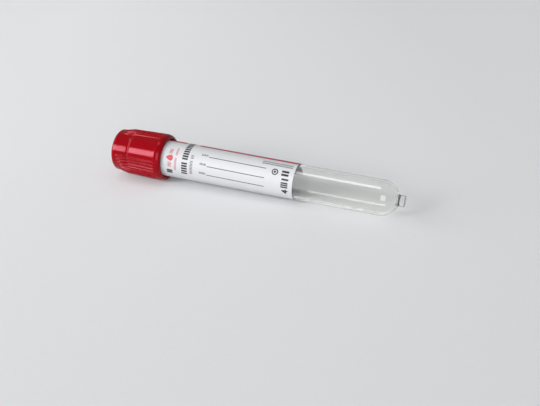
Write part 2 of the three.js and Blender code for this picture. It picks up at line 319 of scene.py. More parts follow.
class Shader:
    """A node tree and short ways to add the nodes that the finishes use."""

    def __init__(self, owner: bpy.types.Material | bpy.types.World) -> None:
        """Empties the owner's node tree.

        Args:
            owner: the material or world to dress.
        """
        owner.use_nodes = True
        owner.node_tree.nodes.clear()
        self.owner = owner

    def add(self, kind: str, inputs: dict[str | int, Any] | None = None, **settings: Any) -> bpy.types.Node:
        """A new node.

        Args:
            kind: the node's type, without the leading ShaderNode.
            inputs: sockets to link, or numbers and colours to set, by the input's name or place.
            **settings: attributes of the node.

        Returns:
            The node.
        """
        tree = self.owner.node_tree
        node = tree.nodes.new("ShaderNode" + kind)
        for name, value in settings.items():
            setattr(node, name, value)
        for name, value in (inputs or {}).items():
            if isinstance(value, bpy.types.NodeSocket):
                tree.links.new(value, node.inputs[name])
            else:
                node.inputs[name].default_value = value
        return node

    def math(self, operation: str, *values: Any) -> bpy.types.NodeSocket:
        """The result of one of Blender's operations on numbers or sockets."""
        return self.add("Math", dict(enumerate(values)), operation=operation).outputs[0]

    def largest(self, values: Sequence[Any]) -> bpy.types.NodeSocket:
        """The largest of several values."""
        return reduce(lambda high, value: self.math("MAXIMUM", high, value), values)

    def blend(self, share: Any, first: Any, second: Any) -> bpy.types.NodeSocket:
        """A colour between two others.

        Args:
            share: how much of the second shows, from 0 to 1.
            first: a colour.
            second: a colour.

        Returns:
            The colour.
        """
        inputs = {"Factor": share, 6: first, 7: second}
        return self.add("Mix", inputs, data_type="RGBA", clamp_factor=True).outputs[2]

    def spread(self, value: Any, low: float, high: float) -> bpy.types.NodeSocket:
        """A 0 to 1 value laid between two others."""
        return self.add("MapRange", {"Value": value, "To Min": low, "To Max": high}).outputs[0]

    def fade(self, value: Any, span: tuple[float, float]) -> bpy.types.NodeSocket:
        """0 at the span's first end, 1 at its second, with a soft start and end."""
        inputs = {"Value": value, "From Min": span[0], "From Max": span[1]}
        return self.add("MapRange", inputs, interpolation_type="SMOOTHSTEP").outputs[0]

    def apart(self, vector: bpy.types.NodeSocket) -> Sequence[bpy.types.NodeSocket]:
        """The three numbers of a vector."""
        return self.add("SeparateXYZ", {0: vector}).outputs

    def place(self, scale: Scales = (1, 1, 1)) -> bpy.types.NodeSocket:
        """Object coordinates in metres, scaled along the frame's axes: a scale below 1 draws a pattern out."""
        return self.add("Mapping", {"Vector": self.add("TexCoord").outputs["Object"], "Scale": scale}).outputs[0]

    def noise(self, place: Any, grain: float, detail: float = 2.0, roughness: float = 0.5) -> bpy.types.NodeSocket:
        """Soft random values from 0 to 1.

        Args:
            place: coordinates in metres.
            grain: distance between two light spots, in metres.
            detail: how many finer layers are added.
            roughness: how strong the finer layers are.

        Returns:
            The values.
        """
        inputs = {"Vector": place, "Scale": 1 / grain, "Detail": detail, "Roughness": roughness}
        return self.add("TexNoise", inputs).outputs[0]

    def bump(self, height: Any, depth: float, strength: float = 1.0) -> bpy.types.NodeSocket:
        """A normal that leans with a height.

        Args:
            height: values from 0 to 1.
            depth: metres that a height of 1 stands for.
            strength: share of the effect that is used.

        Returns:
            The normal.
        """
        return self.add("Bump", {"Strength": strength, "Distance": depth, "Height": height}).outputs[0]

    def join(self, share: Any, first: bpy.types.Node, second: bpy.types.Node) -> bpy.types.Node:
        """Two surfaces or skies in one, where the share is how much of the second shows."""
        return self.add("MixShader", {0: share, 1: first.outputs[0], 2: second.outputs[0]})

    def finish(self, surface: bpy.types.Node) -> bpy.types.Material | bpy.types.World:
        """Links the finished surface or sky to the output.

        Args:
            surface: its last node.

        Returns:
            The material or world that it dresses.
        """
        kind = "OutputWorld" if isinstance(self.owner, bpy.types.World) else "OutputMaterial"
        self.add(kind, {"Surface": surface.outputs[0]})
        return self.owner


@dataclass(frozen=True)
class ClearPlastic:
    """Clear injection-moulded polyester.

    Attributes:
        tint: colour of light that passes through.
        ior: refractive index.
        flow: the patterns' scale along X, Y and Z, which draws them out along the tube.
        haze: lowest and highest roughness.
        haze_grain: size of the hazy patches.
        ripple: depth of the faint unevenness that the mould leaves.
        ripple_grain: size of that unevenness.
        ripple_share: share of its effect that is used.
        shade_face: share of a lamp's light that passes a wall it meets straight on.
        shade_edge: the share that passes where it grazes the wall.
        shade_blend: how soon a wall counts as grazed.
    """

    tint: Colour = (0.98, 0.982, 0.972, 1)
    ior: float = 1.57
    flow: Scales = (0.35, 1, 1)
    haze: Span = (0.0, 0.045)
    haze_grain: float = 3.0 * MM
    ripple: float = 0.02 * MM
    ripple_grain: float = 5.0 * MM
    ripple_share: float = 0.6
    shade_face: Colour = (0.93, 0.93, 0.92, 1)
    shade_edge: Colour = (0.35, 0.35, 0.34, 1)
    shade_blend: float = 0.35

    def material(self) -> bpy.types.Material:
        """Glass-like for the eye, and see-through for the lamps' shadows.

        Returns:
            The material.
        """
        shader = Shader(bpy.data.materials.new("clear_polyester"))
        place = shader.place(self.flow)
        haze = shader.noise(place, self.haze_grain, detail=3.0)
        waves = shader.noise(place, self.ripple_grain, detail=1.0)
        glass = shader.add(
            "BsdfPrincipled",
            {
                "Base Color": self.tint,
                "IOR": self.ior,
                "Transmission Weight": 1.0,
                "Roughness": shader.spread(haze, *self.haze),
                "Normal": shader.bump(waves, self.ripple, self.ripple_share),
            },
        )
        facing = shader.add("LayerWeight", {"Blend": self.shade_blend}).outputs["Facing"]
        shade = shader.add("BsdfTransparent", {"Color": shader.blend(facing, self.shade_face, self.shade_edge)})
        return shader.finish(shader.join(shader.add("LightPath").outputs["Is Shadow Ray"], glass, shade))


@dataclass(frozen=True)
class MouldedPlastic:
    """Red moulded polyethylene with a satin gloss.

    Attributes:
        colour: its body colour.
        deep_colour: the colour of its slightly darker flow marks.
        flow: those marks' scale along X, Y and Z, which draws them out along the cap.
        flow_grain: size of the marks.
        ior: refractive index.
        reflectance: strength of its reflections, where 0.5 is what the index gives.
        sheen_colour: the tint of its reflections.
        gloss: lowest and highest roughness.
        gloss_grain: size of the patches between the two.
        rib_gloss: roughness that the worn ribs add.
        grain: size of the fine moulded texture.
        grain_depth: depth of that texture.
    """

    colour: Colour = (0.24, 0.001, 0.0045, 1)
    deep_colour: Colour = (0.215, 0.0008, 0.0036, 1)
    flow: Scales = (0.4, 1, 1)
    flow_grain: float = 4.0 * MM
    ior: float = 1.47
    reflectance: float = 0.36
    sheen_colour: Colour = (1.0, 0.33, 0.42, 1)
    gloss: Span = (0.08, 0.14)
    gloss_grain: float = 1.5 * MM
    rib_gloss: float = 0.16
    grain: float = 0.35 * MM
    grain_depth: float = 0.006 * MM

    def material(self) -> bpy.types.Material:
        """Body colour with faint flow marks, uneven gloss and a fine skin.

        Returns:
            The material.
        """
        shader = Shader(bpy.data.materials.new("red_polyethylene"))
        flow = shader.noise(shader.place(self.flow), self.flow_grain, detail=3.0)
        patches = shader.noise(shader.place(), self.gloss_grain, detail=4.0)
        skin = shader.noise(shader.place(), self.grain, detail=3.0, roughness=0.6)
        ribbed = shader.add("Attribute", attribute_name=RIBBED).outputs["Fac"]
        plastic = shader.add(
            "BsdfPrincipled",
            {
                "Base Color": shader.blend(flow, self.colour, self.deep_colour),
                "Roughness": shader.math("MULTIPLY_ADD", ribbed, self.rib_gloss, shader.spread(patches, *self.gloss)),
                "IOR": self.ior,
                "Specular IOR Level": self.reflectance,
                "Specular Tint": self.sheen_colour,
                "Normal": shader.bump(skin, self.grain_depth),
            },
        )
        return shader.finish(plastic)


@dataclass(frozen=True)
class StopperRubber:
    """Grey butyl rubber with a dusting of filler at its surface.

    Attributes:
        colour: its body colour.
        bloom: the paler colour where filler shows.
        bloom_grain: size of the dusty patches.
        gloss: lowest and highest roughness.
        grain: size of the fine pitting.
        grain_depth: depth of that pitting.
    """

    colour: Colour = (0.075, 0.078, 0.082, 1)
    bloom: Colour = (0.13, 0.13, 0.135, 1)
    bloom_grain: float = 1.2 * MM
    gloss: Span = (0.5, 0.72)
    grain: float = 0.25 * MM
    grain_depth: float = 0.02 * MM

    def material(self) -> bpy.types.Material:
        """Matt and finely pitted.

        Returns:
            The material.
        """
        shader = Shader(bpy.data.materials.new("stopper_rubber"))
        dust = shader.noise(shader.place(), self.bloom_grain, detail=5.0, roughness=0.65)
        pits = shader.noise(shader.place(), self.grain, detail=3.0)
        rubber = shader.add(
            "BsdfPrincipled",
            {
                "Base Color": shader.blend(dust, self.colour, self.bloom),
                "Roughness": shader.spread(dust, *self.gloss),
                "Normal": shader.bump(pits, self.grain_depth),
            },
        )
        return shader.finish(rubber)


class Ink(Enum):
    """The label's printing inks."""

    RED = (0.56, 0.035, 0.065, 1)
    BLACK = (0.006, 0.006, 0.007, 1)
    GREY = (0.1, 0.103, 0.107, 1)


class PrintSheet(Shader):
    """The label's node tree, with its printed coordinates in millimetres.

    axes holds the two: from the label's edge in the cap, and round the label. They come from the label's
    own UV map, whose unit is one side of a square sheet. The label is wrapped a little askew, so that the
    print climbs round the tube towards the cap.
    """

    side: float = 100 * MM
    middle: float = 0.5  # V of angle 0
    blank: float = 0.001  # U and V of a place that carries no print
    radius: float = 6.42 * MM * FLAT_SIDE
    askew: float = math.radians(0.085) / MM  # turn for each millimetre of length
    straight_at: float = 25 * MM  # where the askew print meets its nominal angles
    map_name: str = "PrintSheet"

    def __init__(self, owner: bpy.types.Material) -> None:
        """Adds the nodes that read the label's UV map.

        Args:
            owner: the label's material.
        """
        super().__init__(owner)
        apart = self.apart(self.add("UVMap", uv_map=self.map_name).outputs[0])
        scale = self.side / MM
        station = self.math("MULTIPLY", apart[0], scale)
        self.axes = (station, self.math("MULTIPLY_ADD", apart[1], scale, -scale * self.middle))

    @classmethod
    def uv(cls, run: np.ndarray, angle: np.ndarray) -> np.ndarray:
        """UV of points, from their distances from the label's edge in metres and angles in radians."""
        turned = angle + cls.askew * (run - cls.straight_at)
        return np.stack(np.broadcast_arrays(run / cls.side, turned * cls.radius / cls.side + cls.middle), axis=-1)

    def between(self, axis: int, span: Span) -> bpy.types.NodeSocket:
        """1 where a coordinate lies in a span, by how near it is to the span's middle."""
        low, high = sorted(span)
        return self.math("COMPARE", self.axes[axis], (low + high) / 2, (high - low) / 2)

    def length(self, steps: Sequence[bpy.types.NodeSocket]) -> bpy.types.NodeSocket:
        """The root of the sum of two steps' squares."""
        return self.math("SQRT", self.math("ADD", *(self.math("MULTIPLY", step, step) for step in steps)))

    def near_line(self, start: Span, end: Span, reach: float) -> bpy.types.NodeSocket:
        """1 near a straight line between two points.

        The nearest point of the line is start + t * (end - start), where t is the point's place along the
        line, held between 0 and 1.

        Args:
            start: the line's first point, in millimetres.
            end: its last point.
            reach: half of the line's width.

        Returns:
            The mask.
        """
        step = (end[0] - start[0], end[1] - start[1])
        square = step[0] ** 2 + step[1] ** 2
        offset = [self.math("SUBTRACT", self.axes[i], start[i]) for i in (0, 1)]
        shares = [self.math("MULTIPLY", offset[i], step[i] / square) for i in (0, 1)]
        t = self.math("MINIMUM", self.math("MAXIMUM", self.math("ADD", *shares), 0.0), 1.0)
        miss = [self.math("MULTIPLY_ADD", t, -step[i], offset[i]) for i in (0, 1)]
        return self.math("LESS_THAN", self.length(miss), reach)


@dataclass(frozen=True)
class Mark:
    """A printed shape inside a rectangle of the label.

    Attributes:
        ink: what it is printed with.
        stations: where it starts and ends, in millimetres from the label's edge in the cap.
        angles: where it starts and ends about the axis, in degrees, in the middle of the label's length.
    """

    ink: Ink
    stations: Span
    angles: Span

    @property
    def arcs(self) -> Span:
        """The angles as distances round the label, in millimetres."""
        return tuple(math.radians(a) * PrintSheet.radius / MM for a in self.angles)

    def mask(self, sheet: PrintSheet) -> bpy.types.NodeSocket:
        """1 inside the rectangle and 0 outside it."""
        return sheet.math("MULTIPLY", sheet.between(0, self.stations), sheet.between(1, self.arcs))


@dataclass(frozen=True)
class StrokeRow(Mark):
    """A row of even upright strokes, all of one height, where the real label has a line of small print.

    Attributes:
        pitch: distance between two strokes, in millimetres.
        weight: width of a stroke as a share of the pitch.
        around: the row runs round the tube.
    """

    pitch: float = 0.5
    weight: float = 0.5
    around: bool = True

    def mask(self, sheet: PrintSheet) -> bpy.types.NodeSocket:
        """1 on a stroke, which fills the first part of each pitch.

        Args:
            sheet: the label's node tree.

        Returns:
            The mask.
        """
        run, span = (1, self.arcs) if self.around else (0, self.stations)
        along = sheet.math("MULTIPLY_ADD", sheet.axes[run], 1 / self.pitch, -span[0] / self.pitch)
        stroke = sheet.math("LESS_THAN", sheet.math("FRACT", along), self.weight)
        return sheet.math("MULTIPLY", super().mask(sheet), stroke)


@dataclass(frozen=True)
class RingMark(Mark):
    """A round outline with a dot in it.

    Attributes:
        line: the outline's width as a share of its radius.
        dot: the dot's radius as a share of the outline's.
    """

    line: float = 0.34
    dot: float = 0.38

    def mask(self, sheet: PrintSheet) -> bpy.types.NodeSocket:
        """1 on the outline and the dot, from the distance to the centre as a share of the half sides.

        Args:
            sheet: the label's node tree.

        Returns:
            The mask.
        """
        shares = []
        for axis, (low, high) in enumerate((self.stations, self.arcs)):
            half = (high - low) / 2
            shares.append(sheet.math("MULTIPLY_ADD", sheet.axes[axis], 1 / half, -(low + high) / 2 / half))
        far = sheet.length(shares)
        outline = sheet.math("COMPARE", far, 1 - self.line / 2, self.line / 2)
        return sheet.largest([outline, sheet.math("LESS_THAN", far, self.dot)])


@dataclass(frozen=True)
class DropMark(Mark):
    """A drop that points to the lower station, with a round belly."""

    def mask(self, sheet: PrintSheet) -> bpy.types.NodeSocket:
        """1 on the drop, which fills its rectangle.

        With x from 0 at the tip to 1 at the belly's end, the half width is the rectangle's times
        x * (1 - x)^0.5 over the largest value of that, which it has at x = 2/3.

        Args:
            sheet: the label's node tree.

        Returns:
            The mask.
        """
        low, high = self.stations
        x = sheet.math("MULTIPLY_ADD", sheet.axes[0], 1 / (high - low), -low / (high - low))
        root = sheet.math("SQRT", sheet.math("MAXIMUM", sheet.math("SUBTRACT", 1.0, x), 0.0))
        half = abs(self.arcs[1] - self.arcs[0]) / 2
        fullest = 2 / 3 * math.sqrt(1 / 3)
        width = sheet.math("MULTIPLY", sheet.math("MULTIPLY", root, x), half / fullest)
        off = sheet.math("ABSOLUTE", sheet.math("SUBTRACT", sheet.axes[1], sum(self.arcs) / 2))
        return sheet.math("MULTIPLY", sheet.math("LESS_THAN", off, width), sheet.between(0, self.stations))


@dataclass(frozen=True)
class FourMark(Mark):
    """The plain number 4, its top towards the lower station.

    Attributes:
        pen: width of the lines, in millimetres.
        bar: the cross bar's place between top and foot, as a share.
        stem: the upright's place between left and right, as a share.
    """

    pen: float = 0.5
    bar: float = 0.68
    stem: float = 0.72

    def mask(self, sheet: PrintSheet) -> bpy.types.NodeSocket:
        """1 on any of the number's three straight lines.

        Args:
            sheet: the label's node tree.

        Returns:
            The mask.
        """
        (top, foot), (left, right) = self.stations, self.arcs
        bar = top + self.bar * (foot - top)
        stem = left + self.stem * (right - left)
        lines = [((top, stem), (foot, stem)), ((top, stem), (bar, left)), ((bar, left), (bar, right))]
        return sheet.largest([sheet.near_line(start, end, self.pen / 2) for start, end in lines])


def label_marks() -> tuple[Mark, ...]:
    """The label's printed shapes: generic fields, lines, strokes and a number, with no words.

    Returns:
        The marks.
    """
    marks = [
        Mark(Ink.RED, (-1.1, 7.6), (92.4, 122.0)),
        Mark(Ink.RED, (12.8, 50.9), (93.2, 122.0)),
        DropMark(Ink.RED, (2.4, 5.2), (16.2, 34.7)),
        StrokeRow(Ink.RED, (3.3, 4.7), (-2.8, 12.2)),
        StrokeRow(Ink.RED, (3.3, 4.7), (39.2, 54.2)),
        StrokeRow(Ink.RED, (5.9, 6.7), (-11.6, 28.4), pitch=0.42),
        StrokeRow(Ink.RED, (5.9, 6.7), (36.4, 62.4), pitch=0.42),
        Mark(Ink.BLACK, (2.9, 5.1), (-26.8, -20.4)),
        Mark(Ink.BLACK, (2.9, 5.1), (-19.4, -13.0)),
        StrokeRow(Ink.BLACK, (8.7, 10.9), (-19.8, 20.7), pitch=0.92, weight=0.68),
        StrokeRow(Ink.BLACK, (8.7, 10.9), (27.7, 106.7), pitch=0.92, weight=0.68),
        StrokeRow(Ink.GREY, (11.9, 13.0), (-15.1, 29.9)),
        StrokeRow(Ink.GREY, (11.9, 13.0), (34.9, 47.4)),
        StrokeRow(Ink.GREY, (38.0, 49.2), (65.6, 70.6), pitch=0.34, weight=0.65, around=False),
        StrokeRow(Ink.GREY, (38.0, 49.2), (73.6, 78.6), pitch=0.34, weight=0.65, around=False),
        RingMark(Ink.BLACK, (42.3, 44.6), (34.6, 55.2)),
        Mark(Ink.BLACK, (45.9, 48.5), (36.6, 43.2)),
        Mark(Ink.BLACK, (45.9, 48.5), (47.1, 53.7)),
        FourMark(Ink.BLACK, (46.8, 48.6), (-19.1, -7.1)),
        StrokeRow(Ink.BLACK, (46.2, 48.7), (-0.1, 19.4), pitch=0.72, weight=0.68),
        Mark(Ink.BLACK, (46.3, 48.8), (23.3, 29.0)),
    ]
    half_line, caption_rise = 1.3, 6.5
    for caption, line in ((51.4, 50.4), (21.1, 19.9), (-7.4, -8.2)):
        rise = (caption, caption + caption_rise)
        marks.append(StrokeRow(Ink.GREY, (15.7, 18.1), rise, pitch=0.55, weight=0.62, around=False))
        marks.append(Mark(Ink.GREY, (18.5, 40.1), (line - half_line, line + half_line)))
    return tuple(marks)


@dataclass(frozen=True)
class PrintedPaper:
    """Smooth white label paper with printed shapes.

    Attributes:
        colour: the paper's white.
        fibre_colour: its slightly darker fibres.
        fibre_scale: the fibres' scale along X, Y and Z, which draws them out along the tube.
        fibre_grain: size of the fibres.
        fibre_depth: how deep they lie.
        gloss: the bare paper's roughness.
        gloss_spread: how much the fibres change it, either way.
        ink_gloss: what ink adds to the roughness.
        ink_cover: share of the ink that stays where a fibre stands highest.
        glow: share of the light that passes through the paper.
        marks: what is printed on it.
    """

    colour: Colour = (0.70, 0.705, 0.722, 1)
    fibre_colour: Colour = (0.662, 0.667, 0.684, 1)
    fibre_scale: Scales = (0.5, 1, 1)
    fibre_grain: float = 0.3 * MM
    fibre_depth: float = 0.006 * MM
    gloss: float = 0.46
    gloss_spread: float = 0.05
    ink_gloss: float = -0.08
    ink_cover: float = 0.93
    glow: float = 0.3
    marks: tuple[Mark, ...] = field(default_factory=label_marks)

    def material(self) -> bpy.types.Material:
        """Paper with each ink laid over it in turn.

        Returns:
            The material.
        """
        sheet = PrintSheet(bpy.data.materials.new("printed_paper"))
        fibres = sheet.noise(sheet.place(self.fibre_scale), self.fibre_grain, detail=4.0, roughness=0.6)
        colour = sheet.blend(fibres, self.colour, self.fibre_colour)
        kept = sheet.spread(fibres, 1.0, self.ink_cover)
        covers = [sheet.largest([mark.mask(sheet) for mark in self.marks if mark.ink is ink]) for ink in Ink]
        for ink, cover in zip(Ink, covers):
            colour = sheet.blend(sheet.math("MULTIPLY", cover, kept), colour, ink.value)
        gloss = sheet.math("MULTIPLY_ADD", sheet.largest(covers), self.ink_gloss, self.gloss)
        uneven = sheet.spread(fibres, -self.gloss_spread, self.gloss_spread)
        paper = sheet.add(
            "BsdfPrincipled",
            {
                "Base Color": colour,
                "Roughness": sheet.math("ADD", gloss, uneven),
                "Normal": sheet.bump(fibres, self.fibre_depth),
            },
        )
        return sheet.finish(sheet.join(self.glow, paper, sheet.add("BsdfTranslucent", {"Color": colour})))


@dataclass(frozen=True)
class FloorCard:
    """The matt pale card that the tube lies on, with painted light falloff across it.

    Attributes:
        cap_side_lit_colour: its colour well past the cap.
        bottom_side_shaded_colour: its colour well past the tube's round bottom.
        reach: metres from the middle to where each colour is full.
        back_reach: metres behind the tube over which it goes from one colour to the other.
        grain: size of the card's fine texture.
        grain_depth: depth of that texture.
        grain_share: how much the texture changes the share of the two colours, either way.
        gloss: its roughness.
        reflectance: strength of its reflections, where 0.5 is a plastic's.
    """

    # Painted light falloff: the card is coloured lighter on the cap's side, where the light comes from, and darker
    # past the round bottom.
    cap_side_lit_colour: Colour = (0.76, 0.766, 0.776, 1)
    bottom_side_shaded_colour: Colour = (0.645, 0.65, 0.659, 1)
    reach: float = 120 * MM
    back_reach: float = 540 * MM
    grain: float = 1.5 * MM
    grain_depth: float = 0.03 * MM
    grain_share: float = 0.1
    gloss: float = 0.9
    reflectance: float = 0.2

    def material(self) -> bpy.types.Material:
        """Matt card with painted shade that darkens it slowly from one side to the other and towards the back, with a
        faint grain.

        Returns:
            The material.
        """
        shader = Shader(bpy.data.materials.new("floor_card"))
        # Painted shade: the share of the darker colour grows across the card and towards the back.
        apart = shader.apart(shader.place())
        across = shader.math("MULTIPLY_ADD", apart[0], 0.5 / self.reach, 0.5)
        behind = shader.math("MAXIMUM", apart[1], 0.0)
        across = shader.math("MULTIPLY_ADD", behind, 1 / self.back_reach, across)
        grain = shader.noise(shader.place(), self.grain, detail=6.0, roughness=0.6)
        share = shader.math("ADD", across, shader.spread(grain, -self.grain_share, self.grain_share))
        card = shader.add(
            "BsdfPrincipled",
            {
                "Base Color": shader.blend(share, self.cap_side_lit_colour, self.bottom_side_shaded_colour),
                "Roughness": self.gloss,
                "Specular IOR Level": self.reflectance,
                "Normal": shader.bump(grain, self.grain_depth),
            },
        )
        return shader.finish(card)


# ---- Pieces -------------------------------------------------------------------------------------------


def add_object(name: str, data: bpy.types.ID) -> bpy.types.Object:
    """Puts a new object in the scene.

    Args:
        name: its name.
        data: the mesh, lamp or camera that it holds.

    Returns:
        The object.
    """
    made = bpy.data.objects.new(name, data)
    bpy.context.scene.collection.objects.link(made)
    return made


def add_piece(mesh: bpy.types.Mesh, material: bpy.types.Material, node: str, body: str) -> bpy.types.Object:
    """Puts a finished piece in the scene in place of its CAD node.

    Args:
        mesh: the piece's mesh, placed in the frame.
        material: its finish.
        node: the CAD node that it stands for.
        body: the CAD body that it rides on.

    Returns:
        The object.
    """
    mesh.materials.append(material)
    piece = add_object(mesh.name, mesh)
    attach(piece, body)
    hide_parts(node)
    logger.info("%s: %d faces, stands for %s, rides on %s", piece.name, len(mesh.polygons), node, body)
    return piece


@dataclass(frozen=True)
class ClearTube:
    """The clear tube: a tapered wall, a round bottom and the boss that the mould's gate leaves.

    Every size is in metres.
    """

    axis: TubeAxis
    mouth: float = 6.5 * MM  # station of the mouth
    length: float = 99.1 * MM
    mouth_radius: float = 6.5 * MM * FLAT_SIDE
    bottom_radius: float = 6.15 * MM
    end_radius: float = 6.15 * MM * FLAT_SIDE
    wall: float = 1.0 * MM
    lip: float = 0.3 * MM
    boss_radius: float = 1.9 * MM
    boss_length: float = 1.8 * MM
    boss_edge: float = 0.35 * MM
    boss_fillet: float = 0.45 * MM
    boss_foot: float = 0.1 * MM
    dimple_radius: float = 0.7 * MM
    dimple_depth: float = 0.3 * MM
    dimple_floor: float = 0.6  # share of its radius that is left at its floor
    dimple_edge: float = 0.1 * MM
    arc_steps: int = 24
    row_spacing: float = 4.0 * MM
    columns: int = 160

    @property
    def bottom_centre(self) -> float:
        """Station of the round bottom's centre."""
        return self.mouth + self.length - self.bottom_radius

    def radius(self, station: float) -> float:
        """Outside radius of the straight tapered wall at a station."""
        share = (station - self.mouth) / (self.bottom_centre - self.mouth)
        return self.mouth_radius + share * (self.end_radius - self.mouth_radius)

    def outline(self) -> np.ndarray:
        """The half section, from the inside of the bottom, round the mouth, to the boss's end.

        Returns:
            Points (station, radius).
        """
        centre = self.bottom_centre
        quarter = math.pi / 2
        bore = arc(centre, self.end_radius - self.wall, 0.0, quarter, self.arc_steps)
        wall = rounded(
            [
                (centre, self.end_radius - self.wall, 0),
                (self.mouth, self.mouth_radius - self.wall, self.lip),
                (self.mouth, self.mouth_radius, self.lip),
                (centre, self.end_radius, 0),
            ]
        )
        foot = math.asin((self.boss_radius + self.boss_fillet) / self.end_radius)
        bottom = arc(centre, self.end_radius, quarter, foot, self.arc_steps)
        start = bottom[-1, 0]
        end = self.mouth + self.length + self.boss_length
        boss = rounded(
            [
                (start, bottom[-1, 1], 0),
                (start + self.boss_foot, self.boss_radius, self.boss_fillet),
                (end, self.boss_radius, self.boss_edge),
                (end, self.dimple_radius, self.dimple_edge),
                (end - self.dimple_depth, self.dimple_floor * self.dimple_radius, self.dimple_edge),
                (end - self.dimple_depth, 0.0, 0),
            ]
        )
        return without_doubles(np.vstack([bore, divided(wall, self.row_spacing), bottom, boss]))

    def build(self) -> bpy.types.Object:
        """The tube in its clear plastic."""
        mesh = turned_mesh("clear_tube", self.axis, self.outline(), self.columns)
        return add_piece(mesh, ClearPlastic().material(), "tube", "tube")


@dataclass(frozen=True)
class PaperLabel:
    """The paper label that is wrapped round the tube, with a bare window at the back.

    Every size is in metres, and the angles are in degrees.
    """

    tube: ClearTube
    start: float = 19.4 * MM
    length: float = 50.3 * MM
    gap: float = 0.04 * MM
    thickness: float = 0.1 * MM
    window: float = 56.0
    window_centre: float = 207.0
    rows: int = 26
    columns: int = 160

    def build(self) -> bpy.types.Object:
        """The label with its printed sheet laid out on its outside.

        The outside runs from the first station to the last and the inside comes back, so that the rows
        close round the paper's edges. Two strips close the ends at the window.

        Returns:
            The object.
        """
        station = np.linspace(self.start, self.start + self.length, self.rows)
        inner = np.array([self.tube.radius(s) for s in station]) + self.gap
        outline = np.concatenate(
            [np.stack([station, inner + self.thickness], 1), np.stack([station, inner], 1)[::-1]]
        )
        first = math.radians(self.window_centre + self.window / 2 - 360)
        last = math.radians(self.window_centre - self.window / 2)
        angle = np.linspace(first, last, self.columns)
        points = self.tube.axis.place(outline[:, :1], outline[:, 1:], angle[None, :]).reshape(-1, 3)
        quads = grid_quads(len(outline), self.columns, loop_rows=True, loop_columns=False)
        row = np.arange(self.rows - 1)
        facing = 2 * self.rows - 1 - row
        strip = np.stack([row, facing, facing - 1, row + 1], axis=1) * self.columns
        quads = np.vstack([quads, strip, strip[:, ::-1] + self.columns - 1])
        mesh = make_mesh("paper_label", points, quads)
        self.lay_out_print(mesh, outline[:, 0], angle)
        return add_piece(mesh, PrintedPaper().material(), "label", "tube")

    def lay_out_print(self, mesh: bpy.types.Mesh, station: np.ndarray, angle: np.ndarray) -> None:
        """Writes the printed sheet's UV map, on the label's outside only.

        Args:
            mesh: the label's mesh.
            station: station of each row.
            angle: angle of each column.
        """
        corner = np.zeros(len(mesh.loops), np.int32)
        mesh.loops.foreach_get("vertex_index", corner)
        place = PrintSheet.uv(station[:, None] - self.start, angle[None, :]).reshape(-1, 2)
        outside = (corner < self.rows * self.columns).reshape(-1, 4).all(1)
        uv = np.where(np.repeat(outside, 4)[:, None], place[corner], PrintSheet.blank)
        mesh.uv_layers.new(name=PrintSheet.map_name).uv.foreach_set("vector", uv.astype(np.float32).ravel())


@dataclass(frozen=True)
class Stopper:
    """The rubber stopper: button, waist, flange and beaded plug with a hollow underside.

    Every size is in metres.
    """

    tube: ClearTube
    button_start: float = 2.4 * MM
    button_radius: float = 3.65 * MM * FLAT_SIDE
    button_length: float = 1.1 * MM
    button_edge: float = 0.25 * MM
    dimple_radius: float = 1.9 * MM
    dimple_depth: float = 0.4 * MM
    waist_radius: float = 3.0 * MM * FLAT_SIDE
    flange_start: float = 4.8 * MM
    flange_length: float = 1.4 * MM
    flange_radius: float = 6.3 * MM * FLAT_SIDE
    flange_edge: float = 0.3 * MM
    plug_length: float = 8.2 * MM
    plug_clearance: float = 0.07 * MM
    plug_rows: int = 60
    tip_length: float = 0.9 * MM
    tip_inset: float = 0.45 * MM
    bead_height: float = 0.3 * MM
    bead_reach: float = 0.7 * MM
    bead_depths: tuple[float, ...] = (2.2 * MM, 5.0 * MM)
    hollow_radius: float = 2.8 * MM
    hollow_taper: float = 0.35 * MM
    hollow_steps: int = 12
    septum: float = 3.2 * MM
    corner: float = 0.2 * MM  # rounding of the plain corners
    tight_corner: float = 0.15 * MM
    columns: int = 96

    def plug(self) -> np.ndarray:
        """The plug's outside: a straight wall with a round bead at each depth.

        A bead adds height * (1 - (distance / reach)^2)^2 within its reach.

        Returns:
            Points (station, radius).
        """
        end = self.tube.mouth + self.plug_length
        station = np.linspace(self.flange_start + self.flange_length, end - self.tip_length, self.plug_rows)
        bore = self.tube.radius(end) - self.tube.wall
        radius = np.full_like(station, bore - self.plug_clearance - self.bead_height)
        for depth in self.bead_depths:
            off = np.clip(np.abs(station - self.tube.mouth - depth) / self.bead_reach, 0, 1)
            radius += self.bead_height * (1 - off**2) ** 2
        return np.stack([station, radius], axis=1)

    def outline(self) -> np.ndarray:
        """The half section from the button's dimple to the hollow's round top.

        Returns:
            Points (station, radius).
        """
        plug = self.plug()
        end = self.tube.mouth + self.plug_length
        button_end = self.button_start + self.button_length
        top = rounded(
            [
                (self.button_start + self.dimple_depth, 0, 0),
                (self.button_start + self.dimple_depth, self.dimple_radius - self.dimple_depth, self.corner),
                (self.button_start, self.dimple_radius, self.tight_corner),
                (self.button_start, self.button_radius, self.button_edge),
                (button_end, self.button_radius, self.tight_corner),
                (button_end, self.waist_radius, self.tight_corner),
                (self.flange_start, self.waist_radius, self.corner),
                (self.flange_start, self.flange_radius, self.flange_edge),
                (plug[0, 0], self.flange_radius, self.corner),
                (plug[0, 0], plug[0, 1], 0),
            ]
        )
        hollow_radius = self.hollow_radius - self.hollow_taper
        hollow_centre = self.flange_start + self.flange_length + self.septum + hollow_radius
        lip = rounded(
            [
                (plug[-1, 0], plug[-1, 1], 0),
                (end, plug[-1, 1] - self.tip_inset, self.corner),
                (end, self.hollow_radius, self.corner),
                (hollow_centre, hollow_radius, 0),
            ]
        )
        hollow = arc(hollow_centre, hollow_radius, math.pi / 2, math.pi, self.hollow_steps)
        return without_doubles(np.vstack([top, plug, lip, hollow]))

    def build(self) -> bpy.types.Object:
        """The stopper in its rubber."""
        mesh = turned_mesh("rubber_stopper", self.tube.axis, self.outline(), self.columns)
        return add_piece(mesh, StopperRubber().material(), "stopper", "closure")


